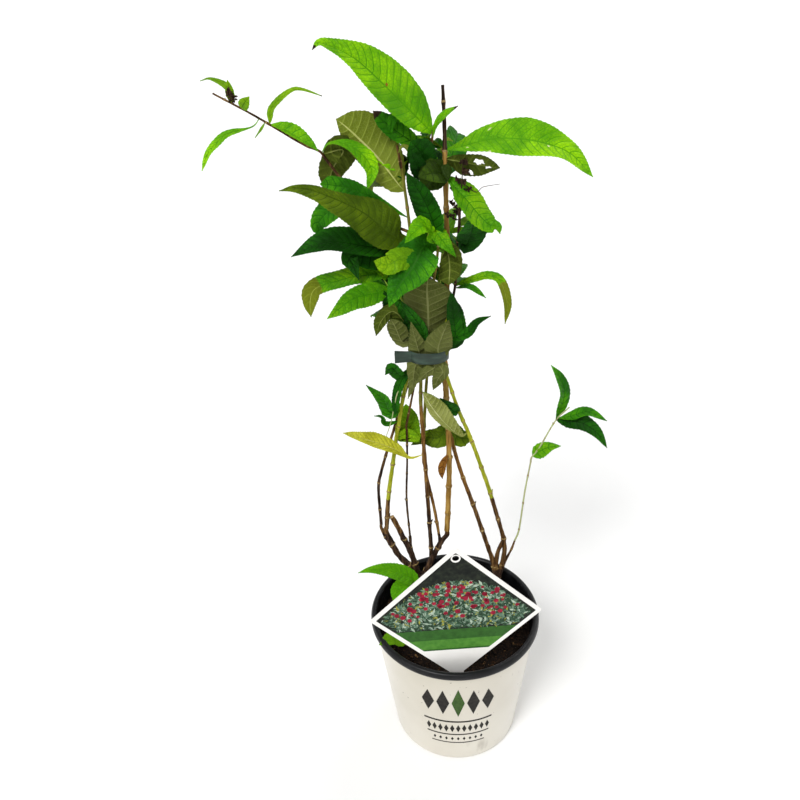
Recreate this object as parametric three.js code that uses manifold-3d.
// A potted butterfly bush, tied up for sale, in its one gallon nursery pot.
// Millimetres, +Z up, +X to the right and -Y to the front. The origin is the middle of the
// flat underside of the pot.
import * as THREE from 'three';
import { mergeVertices } from 'three/addons/utils/BufferGeometryUtils.js';
import Module from 'manifold-3d';

const wasm = await Module();
wasm.setup();

// ---- driving sizes -------------------------------------------------------------------
const CLEAR = 0.3;                 // gap between pieces that touch

const POT_HEIGHT = 152;
const POT_FOOT_RADIUS = 68;
const POT_FOOT_CHAMFER = 1.5;
const WALL_TOP_RADIUS = 85.5;      // white wall, just under the lip
const WALL_TOP = 144.5;
const WALL_THICK = 1.3;
const FLOOR_THICK = 2;
const LIP_RADIUS = 89;             // black rolled lip
const LIP_BULGE = 1.6;
const LINING_THICK = 1.2;
const SOIL_LEVEL = 132;

const TAG_SIDE = 115;              // plant label, a square that stands on its corner
const TAG_THICK = 0.8;
const TAG_CENTRE = [0, -70, 212];
const TAG_TURN = 5;                // degrees about the upright
const TAG_HOLE_RADIUS = 3.3;
const TAG_HOLE_DROP = 12.5;        // below the top corner
const TAG_SPIKE_WIDTH = 14;
const TAG_SPIKE_FOOT = 96;

const TIE_CENTRE = [-20.3, 28, 438];
const TIE_HALF_WIDTH = 18.6;
const TIE_HALF_DEPTH = 14.8;
const TIE_TAPE_WIDTH = 10.7;
const TIE_TAPE_THICK = 0.9;
const TIE_TAIL_LENGTH = 15;
const TIE_TAIL_THICK = 1.6;
const TIE_TAIL_ROOT = 0.84;        // where the tail leaves the band, of its half width

const LEAF_THICK_SHARE = 1 / 75;   // of its length
const LEAF_THICK_MIN = 1;
const LEAF_FOLD = 0.16;            // how far the edges stand above the midrib, of the width
// stations along a leaf and its half width there, as shares of length and half width
const LEAF_OUTLINE = [[0.04, 0.1], [0.2, 0.66], [0.42, 1], [0.72, 0.62]];
const LIMB_SIDES = 6;
const TWIG_SIDES = 5;

const UP = [0, 0, 1];
const FRONT = [0, -1, 0];
const BACK = [0, 1, 0];

const COLOUR = {
  pot: 0xe9e3d3, lip: 0x16171a, soil: 0x241b14, tag: 0xe9ebe6, tape: 0x4f625d,
  bark: 0x6a4a26, darkBark: 0x3b2a1c, greenBark: 0x9aa838, paleBark: 0x9c9a5a,
  leaf: 0x3f8f17, darkLeaf: 0x246112, dullLeaf: 0x6f7a35,
};

// ---- small tools ---------------------------------------------------------------------
const vec = (p) => new THREE.Vector3(p[0], p[1], p[2]);
const radians = (degrees) => degrees * Math.PI / 180;

// A plain seeded row of numbers between 0 and 1.
function seeded(seed) {
  let state = seed;
  return () => {
    state = (state * 16807) % 2147483647;
    return state / 2147483647;
  };
}

// A closed skin over rings of points. A ring of one point is a tip.
function loft(rings) {
  const corners = [];
  const faces = [];
  const starts = [];
  for (const ring of rings) {
    starts.push(corners.length / 3);
    for (const point of ring) corners.push(point.x, point.y, point.z);
  }
  for (let i = 0; i + 1 < rings.length; i += 1) {
    const [low, high] = [starts[i], starts[i + 1]];
    const [m, n] = [rings[i].length, rings[i + 1].length];
    for (let k = 0; k < Math.max(m, n); k += 1) {
      const next = k + 1;
      if (m > 1) faces.push(low + k, low + next % m, high + (n > 1 ? next % n : 0));
      if (n > 1) faces.push(low + (m > 1 ? k : 0), high + next % n, high + k);
    }
  }
  const cap = (start, count, turned) => {
    for (let k = 1; k + 1 < count; k += 1) {
      faces.push(start, start + (turned ? k + 1 : k), start + (turned ? k : k + 1));
    }
  };
  cap(starts[0], rings[0].length, true);
  cap(starts.at(-1), rings.at(-1).length, false);
  return solidOf(corners, faces);
}

function solidOf(corners, faces) {
  const mesh = new wasm.Mesh({
    numProp: 3,
    vertProperties: new Float32Array(corners),
    triVerts: new Uint32Array(faces),
  });
  return new wasm.Manifold(mesh);
}

function solidFrom(geometry) {
  const bare = new THREE.BufferGeometry();
  bare.setAttribute('position', geometry.getAttribute('position'));
  if (geometry.index) bare.setIndex(geometry.index);
  const merged = mergeVertices(bare, 1e-4);
  return solidOf(merged.getAttribute('position').array, merged.index.array);
}

function fused(solids) {
  return solids.reduce((whole, next) => whole.add(next));
}

function geometryOf(solid) {
  const mesh = solid.getMesh();
  const geometry = new THREE.BufferGeometry();
  geometry.setAttribute('position', new THREE.BufferAttribute(mesh.vertProperties, 3));
  geometry.setIndex(new THREE.BufferAttribute(mesh.triVerts, 1));
  geometry.computeVertexNormals();
  return geometry;
}

const root = new THREE.Group();
root.name = 'butterfly_bush';
const placed = [];                 // every solid so far, for the clearance rule

function keep(name, solid, colour, roughness = 0.7) {
  const material = new THREE.MeshStandardMaterial({ color: colour, roughness, metalness: 0 });
  material.name = name;
  const mesh = new THREE.Mesh(geometryOf(solid), material);
  mesh.name = name;
  root.add(mesh);
  placed.push(solid);
}

// ---- pot, lip, soil ------------------------------------------------------------------
const wallRadius = (height) =>
  POT_FOOT_RADIUS + (WALL_TOP_RADIUS - POT_FOOT_RADIUS) * height / WALL_TOP;

function turned(profile, segments = 48) {
  const points = profile.map(([radius, height]) => new THREE.Vector2(radius, height));
  const geometry = new THREE.LatheGeometry(points, segments);
  geometry.rotateX(Math.PI / 2);   // the lathe turns about Y; stand it up along Z
  return solidFrom(geometry);
}

function potWall() {
  return turned([
    [0, 0],
    [POT_FOOT_RADIUS - POT_FOOT_CHAMFER, 0],
    [wallRadius(POT_FOOT_CHAMFER), POT_FOOT_CHAMFER],
    [WALL_TOP_RADIUS, WALL_TOP],
    [WALL_TOP_RADIUS - WALL_THICK, WALL_TOP],
    [wallRadius(FLOOR_THICK) - WALL_THICK, FLOOR_THICK],
    [0, FLOOR_THICK],
  ]);
}

const LINING_OUT = WALL_THICK + CLEAR;
const LINING_IN = LINING_OUT + LINING_THICK;
const LINING_FLOOR = FLOOR_THICK + CLEAR;
const LIP_FOOT = WALL_TOP + CLEAR;

function potLip() {
  const inner = WALL_TOP_RADIUS - LINING_IN;
  return turned([
    [0, LINING_FLOOR],
    [wallRadius(LINING_FLOOR) - LINING_OUT, LINING_FLOOR],
    [WALL_TOP_RADIUS - LINING_OUT, LIP_FOOT],
    [LIP_RADIUS - LIP_BULGE / 2, LIP_FOOT],
    [LIP_RADIUS, LIP_FOOT + LIP_BULGE],
    [LIP_RADIUS, POT_HEIGHT - LIP_BULGE],
    [LIP_RADIUS - LIP_BULGE, POT_HEIGHT],
    [inner + LIP_BULGE, POT_HEIGHT],
    [inner, POT_HEIGHT - LIP_BULGE],
    [inner, LIP_FOOT],
    [wallRadius(LINING_FLOOR + LINING_THICK) - LINING_IN, LINING_FLOOR + LINING_THICK],
    [0, LINING_FLOOR + LINING_THICK],
  ]);
}

function tagOutline(grow) {
  const half = TAG_SIDE / Math.SQRT2 + grow;
  const spike = TAG_SPIKE_WIDTH / 2 + grow;
  const foot = TAG_SPIKE_FOOT - grow - TAG_CENTRE[2];
  const shape = new THREE.Shape();
  shape.moveTo(-spike / 2, foot);
  shape.lineTo(spike / 2, foot);
  shape.lineTo(spike, spike - half);
  shape.lineTo(half, 0);
  shape.lineTo(0, half);
  shape.lineTo(-half, 0);
  shape.lineTo(-spike, spike - half);
  shape.closePath();
  return shape;
}

function tagPlate(grow) {
  const depth = TAG_THICK + 2 * grow;
  const shape = tagOutline(grow);
  if (grow === 0) {
    const hole = new THREE.Path();
    const height = TAG_SIDE / Math.SQRT2 - TAG_HOLE_DROP;
    hole.absarc(0, height, TAG_HOLE_RADIUS, 0, 2 * Math.PI, true);
    shape.holes.push(hole);
  }
  const geometry = new THREE.ExtrudeGeometry(shape, {
    depth, bevelEnabled: false, curveSegments: 8,
  });
  geometry.translate(0, 0, -depth / 2);
  geometry.rotateX(Math.PI / 2);
  geometry.rotateZ(radians(TAG_TURN));
  geometry.translate(...TAG_CENTRE);
  return solidFrom(geometry);
}

function soilFill() {
  const side = LINING_IN + CLEAR;
  const floor = LINING_FLOOR + LINING_THICK + CLEAR;
  const fill = turned([
    [0, floor],
    [wallRadius(floor) - side, floor],
    [wallRadius(SOIL_LEVEL) - side, SOIL_LEVEL],
    [0, SOIL_LEVEL],
  ]);
  return fill.subtract(tagPlate(CLEAR));
}

// ---- limbs ---------------------------------------------------------------------------
const GRADE = 0.5;                 // smoothing of a limb's course between its named points

function courseOf(points) {
  return new THREE.CatmullRomCurve3(points.map(vec), false, 'catmullrom', GRADE);
}

// A tapering limb along its course, with a flat foot and a flat end.
function limb(points, footRadius, endRadius, sides = LIMB_SIDES, steps = 3) {
  const course = courseOf(points);
  const count = steps * (points.length - 1);
  const frames = course.computeFrenetFrames(count, false);
  const rings = [];
  for (let i = 0; i <= count; i += 1) {
    const centre = course.getPoint(i / count);
    const radius = footRadius + (endRadius - footRadius) * i / count;
    const ring = [];
    for (let k = 0; k < sides; k += 1) {
      const angle = 2 * Math.PI * k / sides;
      ring.push(centre.clone()
        .addScaledVector(frames.normals[i], radius * Math.cos(angle))
        .addScaledVector(frames.binormals[i], radius * Math.sin(angle)));
    }
    rings.push(ring);
  }
  return loft(rings);
}

// The point on a course at a given height.
function atHeight(points, height) {
  const course = courseOf(points);
  let best = course.getPoint(0);
  const tries = 200;
  for (let i = 1; i <= tries; i += 1) {
    const point = course.getPoint(i / tries);
    if (Math.abs(point.z - height) < Math.abs(best.z - height)) best = point;
  }
  return best;
}

// The start of a course moved on by the clearance, so that two limbs in line do not touch.
function startClear(points) {
  const start = vec(points[0]);
  const step = vec(points[1]).sub(start).normalize().multiplyScalar(CLEAR);
  return [start.add(step).toArray(), ...points.slice(1)];
}

// ---- leaves --------------------------------------------------------------------------
// foot is where it leaves its stem and reach the way from there to its tip. face is the side
// that its upper surface looks to, and bow how far it arches out to that side.
function leaf(foot, { reach, wide, bow, face }) {
  const along = vec(reach);
  const length = along.length();
  const ahead = along.clone().normalize();
  const top = vec(face).addScaledVector(ahead, -vec(face).dot(ahead)).normalize();
  const across = new THREE.Vector3().crossVectors(ahead, top);
  const half = Math.max(LEAF_THICK_MIN, length * LEAF_THICK_SHARE) / 2;
  const middle = (share) => foot.clone().addScaledVector(along, share)
    .addScaledVector(top, 4 * bow * share * (1 - share));
  const rings = [];
  for (const [share, breadth] of LEAF_OUTLINE) {
    const centre = middle(share);
    const reachOut = breadth * wide / 2;
    const raise = LEAF_FOLD * reachOut;
    rings.push([
      centre.clone().addScaledVector(across, reachOut).addScaledVector(top, raise),
      centre.clone().addScaledVector(top, -half),
      centre.clone().addScaledVector(across, -reachOut).addScaledVector(top, raise),
      centre.clone().addScaledVector(top, half),
    ]);
  }
  return loft([[middle(0)], ...rings, [middle(1)]]);
}

// A mass is one stem with its leaves. A leaf row gives the height of its foot on the stem and
// the place of its tip. Leaves by rule stand in pairs and come after all the named ones. A
// leaf keeps clear of every solid outside its own mass, or it is left off.
const LOOK_ROUND = 2;              // how far the clearance test looks

function startMass([name, colour, sizes]) {
  const course = startClear(sizes.stem);
  const parts = [limb(course, sizes.radii[0], sizes.radii[1], TWIG_SIDES, 2)];
  return { name, colour, sizes, course, parts };
}

function addLeaf(mass, masses, foot, row) {
  const solid = leaf(foot, { ...row, reach: vec(row.tip).sub(foot).toArray() });
  const others = masses.filter((other) => other !== mass).flatMap((other) => other.parts);
  const near = (other) => solid.minGap(other, LOOK_ROUND) < CLEAR / 2;
  if (!placed.some(near) && !others.some(near)) mass.parts.push(solid);
}

function growMasses(rows) {
  const masses = rows.map(startMass);
  for (const mass of masses) {
    for (const row of mass.sizes.leaves) addLeaf(mass, masses, atHeight(mass.course, row.at), row);
  }
  for (const mass of masses.filter(({ sizes }) => sizes.rule)) {
    for (const row of leavesByRule(mass.course, mass.sizes.rule)) {
      addLeaf(mass, masses, row.foot, row);
    }
  }
  for (const { name, colour, parts } of masses) keep(name, fused(parts), colour);
}

const RULE_STEP = 32;              // from one pair to the next
const RULE_WIDE = 0.32;            // width as a share of length
function leavesByRule(course, { from, to, heading, spread = 40, long, seed }) {
  const random = seeded(seed);
  const rows = [];
  let turn = 0;
  for (let height = from; height <= to; height += RULE_STEP) {
    for (const side of [-1, 1]) {
      const foot = atHeight(course, height);
      const angle = radians(heading + side * spread + turn + 20 * (random() - 0.5));
      const length = long * (0.8 + 0.4 * random());
      const rise = length * (0.05 + 0.35 * random());
      const tip = [
        foot.x + length * Math.cos(angle), foot.y + length * Math.sin(angle), foot.z + rise];
      rows.push({ foot, tip, wide: RULE_WIDE * length, bow: 0.12 * length, face: UP });
    }
    turn = turn === 0 ? 25 : 0;
  }
  return rows;
}

// ---- the plant -----------------------------------------------------------------------
// Woody crown at the left: a flared foot, the outer limb, the sawn stub and two more limbs.
const CROWN_LEFT_FOOT = [-37, 48, SOIL_LEVEL + CLEAR];
const CROWN_RIGHT_FOOT = [46, 40, SOIL_LEVEL + CLEAR];

function crown(foot, flare, limbs) {
  const [x, y, z] = foot;
  const base = limb([foot, [x, y, z + 10], [x + 2, y, z + 25]], flare, flare * 0.62, 8);
  return fused([base, ...limbs.map(([points, r0, r1]) => limb(points, r0, r1))]);
}

// The bare lower stems, each one tapering limb from its crown to the mass it enters.
const OUTER_LEFT = [[-77, 50, 227], [-77, 48, 273], [-72, 45, 300], [-57, 40, 350]];
const GREEN_LEFT = [[-71, 48, 223], [-67, 45, 264], [-55, 38, 340]];
const THIN_LEFT = [[-46.5, 54.5, 206], [-48, 48, 259], [-45, 43, 316], [-44, 41, 350]];
const DARK_MIDDLE = [[-24, 52, 178], [-24, 50, 204], [-26, 46, 273], [-28, 40, 338]];
const OLIVE_MIDDLE = [[-15, 46, 217], [-20, 51, 252], [-26, 52, 285], [-28, 50, 303]];
const WOODY_MIDDLE = [[-6, 45, 221], [-3, 41, 289], [-3, 38, 344], [-5.6, 28, 438],
  [-2, 26, 520], [-3, 26, 590]];
const BROWN_RIGHT = [[38, 47, 197], [30, 47, 226], [8, 47, 300], [-1, 47, 341]];
const GREEN_RIGHT = [[54, 48, 212], [42, 46, 260], [29, 42, 306], [18, 36, 343]];
const TWIG_RIGHT = [[68, 51, 201], [72, 50, 218], [76, 48, 270], [80, 46, 305]];
const BRANCH_LEFT = [[-35.1, 29.5, 549.3], [-52, 34, 557], [-81, 42, 582], [-101, 42, 609]];

// Two limbs in line share their direction where they meet, over this length.
const LEAD = 7;
const stepOff = (from, to) => {
  const start = vec(from);
  return start.add(start.clone().sub(vec(to)).normalize().multiplyScalar(LEAD)).toArray();
};
const into = (course) => [stepOff(course[0], course[1]), course[0]];
const outOf = (course) => [course.at(-1), stepOff(course.at(-1), course.at(-2))];

function crownLeft() {
  return crown(CROWN_LEFT_FOOT, 8, [
    [[[-36, 49, 150], [-47, 50, 165], [-62, 50, 187], ...into(GREEN_LEFT)], 4.4, 2.8],
    [[[-62, 50, 187], [-69, 50, 200], ...into(OUTER_LEFT)], 2.8, 1.9],
    [[[-37, 49, 150], [-48, 50, 191], [-58, 50, 219], [-65, 50, 236]], 3.8, 3],
    [[[-42, 50, 172], [-46, 52, 190], ...into(THIN_LEFT)], 2.6, 1.7],
    [[[-35, 49, 150], [-28, 51, 162], ...into(DARK_MIDDLE)], 3.6, 2.6],
    [[[-34, 48, 150], [-25, 46, 176], [-12, 45, 206], ...into(WOODY_MIDDLE)], 3.8, 2.9],
    [[[-18, 45.5, 192], [-14, 45, 203], ...into(OLIVE_MIDDLE)], 2.4, 1.8],
  ]);
}

function crownRight() {
  return crown(CROWN_RIGHT_FOOT, 7.5, [
    [[[47, 40, 148], [46, 45, 168], [43, 47, 181], ...into(BROWN_RIGHT)], 3.6, 2.7],
    [[[48, 40, 148], [53, 46, 166], [56.5, 48, 186], ...into(GREEN_RIGHT)], 3.4, 2.6],
    [[[47, 40, 148], [48, 46, 172], [49.5, 48, 188], into(GREEN_RIGHT)[0]], 2.8, 2.3],
    [[[48, 40, 146], [57, 48, 172], [64, 51, 187], ...into(TWIG_RIGHT)], 2.2, 1.1],
  ]);
}

const STEMS = [
  ['stem_outer_left', COLOUR.darkBark, OUTER_LEFT, 1.9, 1.6],
  ['stem_green_left', COLOUR.greenBark, GREEN_LEFT, 2.8, 2.2],
  ['stem_thin_left', COLOUR.darkBark, THIN_LEFT, 1.7, 1.5],
  ['stem_dark_middle', COLOUR.darkBark, DARK_MIDDLE, 2.6, 2.1],
  ['stem_olive_middle', COLOUR.bark, OLIVE_MIDDLE, 1.8, 1.9],
  ['stem_woody_middle', COLOUR.bark, WOODY_MIDDLE, 2.9, 2],
  ['stem_brown_right', COLOUR.bark, BROWN_RIGHT, 2.7, 2.1],
  ['stem_green_right', COLOUR.greenBark, GREEN_RIGHT, 2.6, 2.2],
  ['twig_right', COLOUR.paleBark, TWIG_RIGHT, 1.1, 0.9],
  ['branch_upper_left', COLOUR.bark, BRANCH_LEFT, 1.5, 1.3],
];

function tieBand() {
  const [x, y, z] = TIE_CENTRE;
  const outline = new THREE.Shape();
  const inner = new THREE.Path();
  const innerWidth = TIE_HALF_WIDTH - TIE_TAPE_THICK;
  const innerDepth = TIE_HALF_DEPTH - TIE_TAPE_THICK;
  outline.absellipse(0, 0, TIE_HALF_WIDTH, TIE_HALF_DEPTH, 0, 2 * Math.PI, false);
  inner.absellipse(0, 0, innerWidth, innerDepth, 0, 2 * Math.PI, true);
  outline.holes.push(inner);
  const band = new THREE.ExtrudeGeometry(outline, {
    depth: TIE_TAPE_WIDTH, bevelEnabled: false, curveSegments: 20,
  });
  band.translate(x, y, z - TIE_TAPE_WIDTH / 2);
  const tail = new THREE.BoxGeometry(TIE_TAIL_LENGTH, TIE_TAIL_THICK, TIE_TAPE_WIDTH);
  const reach = TIE_HALF_WIDTH * TIE_TAIL_ROOT + TIE_TAIL_LENGTH / 2;
  tail.translate(x - reach, y - TIE_HALF_DEPTH * 0.5, z);
  return fused([solidFrom(band), solidFrom(tail)]);
}

// The masses. Every stem starts where its bare stem ends and passes through the tie.
const MASSES = [
  ['foliage_top', COLOUR.leaf, {
    stem: [...outOf(OLIVE_MIDDLE), [-27, 45, 350], [-24, 40, 392], [-21, 34, 438], [-24, 31, 500],
      [-22, 30, 560], [-12, 28, 628]],
    radii: [1.9, 1.2],
    leaves: [
      { at: 316, tip: [-101, 5, 370], wide: 18, bow: 2, face: [-0.2, -0.6, 0.8] },
      { at: 625, tip: [-97, -2, 692], wide: 42, bow: 14, face: [0.1, -0.75, 0.65] },
      { at: 624, tip: [10, 6, 647], wide: 12, bow: 2, face: [0, -0.6, 0.8] },
      { at: 612, tip: [-54, 40, 648], wide: 14, bow: 2, face: [0, -0.8, 0.6] },
      { at: 590, tip: [-30, 16, 616], wide: 14, bow: 2, face: FRONT },
    ],
    rule: { from: 560, to: 620, heading: 90, long: 70, seed: 11 },
  }],
  ['foliage_top_right', COLOUR.leaf, {
    stem: [...outOf(WOODY_MIDDLE), [-3, 26, 625], [-4, 26, 661]],
    radii: [2, 1.3],
    leaves: [
      { at: 614, tip: [109, 5, 594], wide: 36, bow: 15, face: [0, -0.5, 0.85] },
      { at: 607, tip: [40, 8, 600], wide: 27, bow: 3, face: [0, 0.9, 0.45] },
      { at: 597, tip: [40, -6, 559], wide: 34, bow: 8, face: [0.35, -0.75, 0.55] },
      { at: 594, tip: [-24, 4, 598], wide: 24, bow: 4, face: [-0.2, -0.9, 0.5] },
    ],
    rule: { from: 600, to: 625, heading: 80, long: 70, seed: 23 },
  }],
  ['foliage_upper_left', COLOUR.leaf, {
    stem: [...outOf(GREEN_LEFT), [-44, 32, 398], [-34.5, 26, 438], [-37, 26, 490], [-33, 28, 540],
      [-36, 30, 583], [-41, 33, 618]],
    radii: [2.2, 1.3],
    leaves: [
      { at: 362, tip: [-74, 22, 378], wide: 9, bow: 1, face: [0, -0.5, 0.9] },
      { at: 400, tip: [-62, 15, 427], wide: 15, bow: 3, face: [-0.5, -0.8, 0.3] },
      { at: 458, tip: [-65, 12, 481], wide: 22, bow: 3, face: [0.2, 0.9, -0.1] },
      { at: 543, tip: [-126, -25, 598], wide: 37, bow: 8, face: [0, -0.8, 0.6] },
      { at: 528, tip: [-129, 2, 539], wide: 30, bow: 10, face: [0, -0.7, 0.7] },
      { at: 560, tip: [-105, 6, 594], wide: 26, bow: 6, face: [0, -0.7, 0.7] },
      { at: 583, tip: [-96, 52, 637], wide: 46, bow: 3, face: BACK },
    ],
    rule: { from: 560, to: 618, heading: 110, long: 70, seed: 31 },
  }],
  ['foliage_left_middle', COLOUR.darkLeaf, {
    stem: [...outOf(OUTER_LEFT), [-42, 38, 398], [-29, 36, 438], [-44, 38, 490], [-58, 36, 540],
      [-60, 35, 550]],
    radii: [1.6, 1.1],
    leaves: [
      { at: 381, tip: [-76, 15, 412], wide: 15, bow: 3, face: [-0.5, -0.6, 0.6] },
      { at: 546, tip: [-108, 40, 554], wide: 38, bow: 4, face: [0, -0.85, 0.5] },
      { at: 530, tip: [-80, 14, 507], wide: 26, bow: 6, face: [-0.3, -0.9, 0.4] },
      { at: 512, tip: [-119, 9, 483], wide: 24, bow: 17, face: [-0.1, -0.5, 0.9] },
    ],
    rule: { from: 480, to: 548, heading: 130, long: 66, seed: 43 },
  }],
  ['foliage_left_low', COLOUR.darkLeaf, {
    stem: [...outOf(THIN_LEFT), [-35, 36, 400], [-28, 31, 438], [-36, 32, 465], [-47, 26, 490],
      [-52, 22, 506]],
    radii: [1.5, 1.1],
    leaves: [
      { at: 500, tip: [-105, -12, 485], wide: 24, bow: 6, face: [0, -0.8, 0.6] },
      { at: 352, tip: [-42, 56, 379], wide: 20, bow: 3, face: FRONT },
    ],
    rule: { from: 470, to: 506, heading: 150, long: 55, seed: 57 },
  }],
  ['foliage_centre', COLOUR.dullLeaf, {
    stem: [...outOf(DARK_MIDDLE), [-29, 32, 390], [-26, 23.5, 438], [-20, 22, 480], [-12, 21, 520],
      [-9, 22, 545]],
    radii: [2.1, 1.2],
    leaves: [
      { at: 440, tip: [-35, 7, 481], wide: 22, bow: 3, face: BACK },
      { at: 450, tip: [-18, 3, 513], wide: 40, bow: 0, face: BACK },
      { at: 436, tip: [-35, 8, 395], wide: 13, bow: 3, face: BACK },
      { at: 434, tip: [-14, 8, 412], wide: 16, bow: 2, face: BACK },
      { at: 524, tip: [-62, 2, 523], wide: 27, bow: 4, face: [0, -0.9, 0.4] },
      { at: 537, tip: [-51, -6, 497], wide: 28, bow: 6, face: [-0.2, -0.8, 0.6] },
      { at: 542, tip: [-36, 0, 545], wide: 22, bow: 15, face: [0, -0.4, 0.9] },
      { at: 540, tip: [3, 4, 514], wide: 20, bow: 5, face: [0.3, 0.9, 0.4] },
      { at: 541, tip: [-33, 10, 601], wide: 22, bow: 3, face: [-0.6, -0.8, 0.2] },
    ],
  }],
  ['foliage_right', COLOUR.leaf, {
    stem: [...outOf(GREEN_RIGHT), [9, 29.5, 370], [0, 25, 401], [-8.5, 21.5, 438], [-4, 22, 470],
      [4, 25, 500], [7, 28, 540], [9, 28, 575]],
    radii: [2.2, 1],
    leaves: [
      { at: 349, tip: [-25, 4, 402], wide: 18, bow: 2, face: BACK },
      { at: 376, tip: [-12, 18, 402], wide: 14, bow: 2, face: [-0.5, -0.8, 0.3] },
      { at: 446, tip: [0, -2, 476], wide: 22, bow: 1, face: BACK },
      { at: 503, tip: [47, 5, 474], wide: 13, bow: 19, face: UP },
      { at: 500, tip: [30, 0, 500], wide: 9, bow: 4, face: [0, -0.4, 0.9] },
      { at: 455, tip: [36, 10, 478], wide: 17, bow: -4, face: [-0.2, -0.5, 0.8] },
      { at: 450, tip: [8, 18, 490], wide: 13, bow: 2, face: [0.5, -0.8, 0.3] },
      { at: 540, tip: [27, 8, 563], wide: 28, bow: 3, face: [0.3, -0.9, 0.4] },
    ],
    rule: { from: 470, to: 560, heading: 75, spread: 30, long: 50, seed: 61 },
  }],
  ['foliage_back', COLOUR.darkLeaf, {
    stem: [...outOf(BROWN_RIGHT), [-6, 44, 395], [-13, 37, 438], [-10, 44, 490], [-4, 50, 540], [0, 52, 590]],
    radii: [2, 1.2],
    leaves: [
      { at: 353, tip: [-36, 56, 335], wide: 16, bow: 5, face: [0, -0.7, 0.7] },
      { at: 353, tip: [26, 52, 340], wide: 13, bow: 4, face: [0, -0.7, 0.7] },
    ],
    rule: { from: 460, to: 590, heading: 90, long: 78, seed: 71 },
  }],
  ['foliage_left_branch', COLOUR.leaf, {
    stem: [...outOf(BRANCH_LEFT), [-118, 40, 621], [-135, 38, 632], [-156, 35, 646], [-183, 32, 662]],
    radii: [1.3, 0.8],
    leaves: [
      { at: 613, tip: [-62, 26, 586], wide: 19, bow: 14, face: [0, -0.4, 0.9] },
      { at: 612, tip: [-87, 50, 578], wide: 24, bow: 4, face: [-0.7, 0.6, 0] },
      { at: 637, tip: [-103, 30, 616], wide: 13, bow: 5, face: [0, -0.4, 0.9] },
      { at: 637, tip: [-101, 40, 658], wide: 10, bow: 13, face: [0, -0.4, 0.9] },
      { at: 642, tip: [-195, 14, 609], wide: 14, bow: 8, face: [0, -0.4, 0.9] },
      { at: 639, tip: [-156, 30, 627], wide: 4, bow: 1, face: UP },
      { at: 655, tip: [-192, 42, 672], wide: 7, bow: 3, face: UP },
      { at: 650, tip: [-153, 26, 659], wide: 9, bow: 2, face: FRONT },
      { at: 654, tip: [-170, 33, 671], wide: 7, bow: 0, face: FRONT },
    ],
  }],
  ['foliage_right_twig', COLOUR.leaf, {
    stem: [...outOf(TWIG_RIGHT), [87, 44, 323], [101, 40, 357], [112, 34, 375]],
    radii: [1, 0.7],
    leaves: [
      { at: 357, tip: [95, 33, 417], wide: 17, bow: 3, face: [0.5, -0.7, 0.5] },
      { at: 360, tip: [147, 20, 364], wide: 12, bow: 4, face: [0, -0.4, 0.9] },
      { at: 358, tip: [147, 14, 340], wide: 20, bow: 5, face: [0, -0.4, 0.9] },
      { at: 313, tip: [107, 36, 331], wide: 15, bow: 2, face: [0, -0.7, 0.7] },
    ],
  }],
  ['foliage_foot_left', COLOUR.leaf, {
    stem: [[-48, 32, SOIL_LEVEL], [-48, 32, 144], [-47, 31, 156]],
    radii: [1.6, 1.1],
    leaves: [
      { at: 154, tip: [-100, 10, 192], wide: 20, bow: 10, face: [0, -0.5, 0.9] },
      { at: 150, tip: [-73, 8, 166], wide: 16, bow: 4, face: [0, -0.5, 0.9] },
    ],
  }],
  ['foliage_foot_front', COLOUR.dullLeaf, {
    stem: [[-44, -22, SOIL_LEVEL], [-44, -22, 146], [-46, -23, 160]],
    radii: [1.5, 1],
    leaves: [
      { at: 159, tip: [-82, -48, 156], wide: 20, bow: 3, face: [0, -0.3, 1] },
    ],
  }],
];

// ---- assembly ------------------------------------------------------------------------
keep('pot', potWall(), COLOUR.pot, 0.35);
keep('pot_lip', potLip(), COLOUR.lip, 0.4);
keep('potting_soil', soilFill(), COLOUR.soil, 0.95);
keep('label', tagPlate(0), COLOUR.tag, 0.3);
keep('crown_left', crownLeft(), COLOUR.bark, 0.85);
keep('crown_right', crownRight(), COLOUR.bark, 0.85);
for (const [name, colour, points, r0, r1] of STEMS) {
  keep(name, limb(startClear(points), r0, r1, LIMB_SIDES, 2), colour, 0.75);
}
keep('tie_tape', tieBand(), COLOUR.tape, 0.5);
growMasses(MASSES);

export default root;
